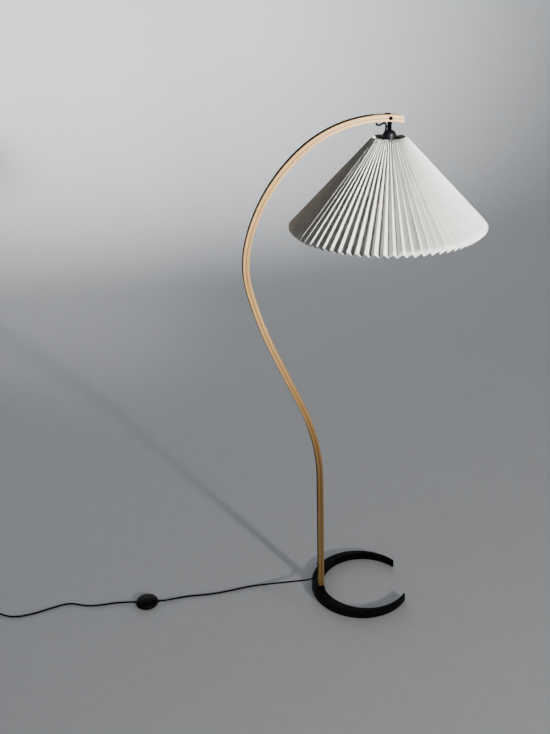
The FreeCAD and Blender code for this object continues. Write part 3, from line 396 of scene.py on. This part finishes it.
PAPER = paper("shade_paper")
OPAL = glass("opal_glass")

FINISH = {
    "base_iron": IRON, "felt": FELT, "zinc_steel": ZINC, "stem_wood": PALE_WOOD, "core_wood": CORE_WOOD,
    "cord_black": SHEATH, "black_metal": GLOSS_BLACK, "rubber_black": RUBBER, "black_plastic": BLACK_PLASTIC,
    "button_plastic": BUTTON_PLASTIC, "porcelain": PORCELAIN, "shell_brass": BRASS, "black_wire": WIRE,
    "shade_paper": PAPER, "bulb_metal": ALUMINIUM, "bulb_glass": OPAL,
}


def finish_with(piece, material):
    piece.data.materials.clear()
    piece.data.materials.append(material)


def finish_nodes():
    """Gives every carried-over node the finish of its slot."""
    for part in frame["record"]["subparts"]:
        piece = nodes[part["node"]]
        material = FINISH[part["material_slot"]]
        if not piece.data.materials:
            piece.data.materials.append(material)
        for index in range(len(piece.data.materials)):
            piece.data.materials[index] = material


finish_nodes()
for cord_piece in (stem_lead, plug_cord, head_loop):
    finish_with(cord_piece, SHEATH)

# ---------------------------------------------------------------- wood grain along the stem
STEM_FOOT_Z = 0.0275
# length of a straight run, or radius and degrees of a bend
STEM_RUNS = [
    (0.4121, None, 0.0), (None, 0.652, -23.5), (0.181, None, 0.0), (None, 1.226, 10.2), (None, 0.300, 27.9),
    (None, 0.472, 34.6), (None, 0.328, 40.8), (0.0127, None, 0.0), (None, 0.210, 15.0),
]
SAMPLE_STEP = 0.002


def stem_samples():
    """Points along the stem's middle line: length so far, place, heading and outward direction."""
    place = np.array([0.0, STEM_FOOT_Z])
    angle = 0.0
    total = 0.0
    rows = []
    for length, radius, degrees in STEM_RUNS:
        turn = math.radians(degrees)
        run = length if length else radius * abs(turn)
        steps = max(2, int(run / SAMPLE_STEP))
        for _ in range(steps):
            rows.append((total, place[0], place[1], angle))
            angle += turn / steps
            middle = angle - turn / steps / 2.0
            place = place + np.array([math.sin(middle), math.cos(middle)]) * (run / steps)
            total += run / steps
    rows.append((total, place[0], place[1], angle))
    return np.array(rows)


def store_grain(piece, table, shift):
    """Keeps each vertex's length along the stem, place across it and depth through it."""
    mesh = piece.data
    points = np.zeros(len(mesh.vertices) * 3)
    mesh.vertices.foreach_get("co", points)
    points = points.reshape(-1, 3)
    grain = mesh.attributes.new("grain", "FLOAT_VECTOR", "POINT")
    values = np.zeros_like(points)
    for k, point in enumerate(points):
        gap = (table[:, 1] - point[0]) ** 2 + (table[:, 2] - point[2]) ** 2
        total, x, z, angle = table[int(np.argmin(gap))]
        dx = point[0] - x
        dz = point[2] - z
        values[k] = (total + dx * math.sin(angle) + dz * math.cos(angle) + shift, point[1],
                     -dx * math.cos(angle) + dz * math.sin(angle) + shift)
    grain.data.foreach_set("vector", values.ravel())


stem_table = stem_samples()
for node_name, shift in (("stem_outer_ply", 0.0), ("stem_core_ply", 0.7), ("stem_inner_ply", 1.9)):
    store_grain(nodes[node_name], stem_table, shift)


# ---------------------------------------------------------------- shade
PLEATS = 72
PLEAT_ROWS = 18
CREST_TOP = (0.0452, 1.4862)
CREST_RIM = (0.2748, 1.2456)
DEPTH_TOP = 0.0088
DEPTH_RIM = 0.0198
FOLD_HALF = 0.00035
SHEET_T = 0.0005
VALLEY_SPREAD = 0.07       # share by which the valleys differ in depth
CREST_SINK = 0.0006
PANEL_BOW = 0.0003
TURN_ERROR_TOP = 0.0010    # radians by which a fold strays at the top
TURN_ERROR_GROWTH = 0.0008


def pleated_shade():
    """One folded sheet: flat panels between sharp crests and valleys, with small folding errors."""
    low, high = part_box("shade")
    centre = (low + high) / 2.0
    run = CREST_RIM[0] - CREST_TOP[0]
    drop = CREST_TOP[1] - CREST_RIM[1]
    slant = math.hypot(run, drop)
    inward = (-drop / slant, -run / slant)
    folds = 2 * PLEATS
    errors = []
    for k in range(folds):
        errors.append((rnd.uniform(-1, 1), rnd.uniform(-1, 1), rnd.uniform(-1, 1)))
    shade = bmesh.new()
    rings = []
    for j in range(PLEAT_ROWS + 1):
        share = j / PLEAT_ROWS
        radius = CREST_TOP[0] + run * share
        height = CREST_TOP[1] - drop * share
        depth = DEPTH_TOP + (DEPTH_RIM - DEPTH_TOP) * share
        ring = []
        for k in range(folds):
            turn_error, depth_error, bow = errors[k]
            if k % 2:
                sink = depth * (1.0 + VALLEY_SPREAD * depth_error)
            else:
                sink = CREST_SINK * (1.0 + depth_error)
            sink += PANEL_BOW * bow * math.sin(math.pi * share)
            angle = 2.0 * math.pi * (k + 0.5) / folds
            angle += turn_error * (TURN_ERROR_TOP + TURN_ERROR_GROWTH * share)
            for offset in (-1, 1):
                r = radius + inward[0] * sink
                z = height + inward[1] * sink
                a = angle + offset * FOLD_HALF / max(r, 0.02)
                ring.append(shade.verts.new((centre.x + r * math.cos(a), centre.y + r * math.sin(a), z)))
        rings.append(ring)
    count = len(rings[0])
    for upper, lower in zip(rings, rings[1:]):
        for k in range(count):
            after = (k + 1) % count
            shade.faces.new((upper[k], lower[k], lower[after], upper[after]))
    mesh = bpy.data.meshes.new("pleated_shade")
    shade.normal_update()
    shade.to_mesh(mesh)
    shade.free()
    for face in mesh.polygons:
        face.use_smooth = True
    mesh.set_sharp_from_angle(angle=math.radians(22))
    piece = bpy.data.objects.new("pleated_shade", mesh)
    bpy.context.scene.collection.objects.link(piece)
    body = piece.modifiers.new("paper", "SOLIDIFY")
    body.thickness = SHEET_T
    body.offset = 0.0
    finish_with(piece, PAPER)
    return piece, slant


pleats, slant_length = pleated_shade()
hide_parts("shade")
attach(pleats, "head")


# ---------------------------------------------------------------- coil tie
def hull_path(centres, radius, steps):
    """The outline of a loop drawn tight round several equal circles."""
    path = []
    for k in range(steps):
        angle = 2.0 * math.pi * k / steps
        way = (math.cos(angle), math.sin(angle))
        best = max(centres, key=lambda c: c[0] * way[0] + c[1] * way[1])
        path.append((best[0] + way[0] * radius, best[1] + way[1] * radius))
    return path


STRAP_AT = math.radians(200)
STRAP_ROUND = [(0.0254, 0.004), (0.0366, 0.004), (0.0338, 0.0094), (0.031, 0.0148), (0.0282, 0.0094)]
STRAP_INNER_R = 0.0031
STRAP_OUTER_R = 0.0041
STRAP_HALF_W = 0.0055
STRAP_STEPS = 64
FLOOR_GAP = 0.0002


def coil_tie():
    """A hook-and-loop strap drawn round the turns of the coil."""
    centre = coil_centre()
    angle = STRAP_AT
    inner = hull_path(STRAP_ROUND, STRAP_INNER_R, STRAP_STEPS)
    outer = hull_path(STRAP_ROUND, STRAP_OUTER_R, STRAP_STEPS)
    strap = bmesh.new()
    loops = []
    for path in (inner, outer):
        for across in (-STRAP_HALF_W, STRAP_HALF_W):
            loop = []
            for radius, height in path:
                x = radius * math.cos(angle) - across * math.sin(angle)
                y = radius * math.sin(angle) + across * math.cos(angle)
                loop.append(strap.verts.new((centre.x + x, centre.y + y, max(height, FLOOR_GAP))))
            loops.append(loop)
    count = len(inner)
    for a, b in ((0, 1), (1, 3), (3, 2), (2, 0)):
        for k in range(count):
            after = (k + 1) % count
            strap.faces.new((loops[a][k], loops[a][after], loops[b][after], loops[b][k]))
    bmesh.ops.recalc_face_normals(strap, faces=strap.faces)
    mesh = bpy.data.meshes.new("coil_strap")
    strap.to_mesh(mesh)
    strap.free()
    for face in mesh.polygons:
        face.use_smooth = True
    mesh.set_sharp_from_angle(angle=math.radians(40))
    piece = bpy.data.objects.new("coil_strap", mesh)
    bpy.context.scene.collection.objects.link(piece)
    finish_with(piece, FELT)
    return piece


strap_piece = coil_tie()
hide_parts("coil_tie")
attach(strap_piece, "stand")


# ---------------------------------------------------------------- stage
STAGE_R = 7.5
COVE_R = 4.0
WALL_TOP = 5.5
COVE_STEPS = 20
ROUND_STEPS = 96
STAGE_Z = -0.0004          # just under the object, so that no faces coincide


def make_stage():
    """A pale floor that curves up into a round wall."""
    profile = [(STAGE_R - COVE_R - 0.1, STAGE_Z), (STAGE_R - COVE_R, STAGE_Z)]
    for k in range(1, COVE_STEPS + 1):
        angle = math.radians(90.0 * k / COVE_STEPS)
        radius = STAGE_R - COVE_R + COVE_R * math.sin(angle)
        profile.append((radius, COVE_R * (1.0 - math.cos(angle)) + STAGE_Z))
    profile.append((STAGE_R, WALL_TOP))
    stage = bmesh.new()
    rings = []
    for radius, height in profile:
        ring = []
        for k in range(ROUND_STEPS):
            angle = 2 * math.pi * k / ROUND_STEPS
            ring.append(stage.verts.new((radius * math.cos(angle), radius * math.sin(angle), height)))
        rings.append(ring)
    stage.faces.new(rings[0])
    for lower, upper in zip(rings, rings[1:]):
        for k in range(ROUND_STEPS):
            after = (k + 1) % ROUND_STEPS
            stage.faces.new((lower[k], lower[after], upper[after], upper[k]))
    mesh = bpy.data.meshes.new("floor")
    stage.to_mesh(mesh)
    stage.free()
    for face in mesh.polygons:
        face.use_smooth = len(face.vertices) == 4
    mesh.set_sharp_from_angle(angle=math.radians(60))
    floor = bpy.data.objects.new("floor", mesh)
    bpy.context.scene.collection.objects.link(floor)
    finish_with(floor, speckled("floor_paint", (0.79, 0.80, 0.815), (0.85, 0.86, 0.875), 25.0, 0.75,
                                spread=0.05, broad=0.7, specular=0.2))


def area_light(name, place, aim, size, power, colour, spread=180.0):
    data = bpy.data.lights.new(name, "AREA")
    data.shape = "DISK"
    data.size = size
    data.energy = power
    data.color = colour
    data.spread = math.radians(spread)
    light = bpy.data.objects.new(name, data)
    bpy.context.scene.collection.objects.link(light)
    light.location = place
    light.rotation_euler = (Vector(aim) - Vector(place)).to_track_quat("-Z", "Y").to_euler()
    light.visible_camera = False


KEY_PLACE = (2.05, -3.65, 1.86)
KEY_SIZE = 0.30


def make_lights():
    world = bpy.data.worlds.new("studio")
    bpy.context.scene.world = world
    world.use_nodes = True
    world.node_tree.nodes["Background"].inputs["Color"].default_value = (0.93, 0.96, 1.0, 1.0)
    world.node_tree.nodes["Background"].inputs["Strength"].default_value = 0.17
    area_light("key", KEY_PLACE, (0.16, 0.0, 1.52), KEY_SIZE, 19.0, (0.985, 0.99, 1.0), 26.0)
    area_light("low_key", KEY_PLACE, (0.0, 0.0, 0.7), KEY_SIZE, 48.0, (1.0, 0.985, 0.96))
    area_light("wall", (0.0, 3.4, 3.6), (-0.6, 7.5, 1.6), 3.0, 110.0, (0.95, 0.975, 1.0), 120.0)


make_stage()
make_lights()
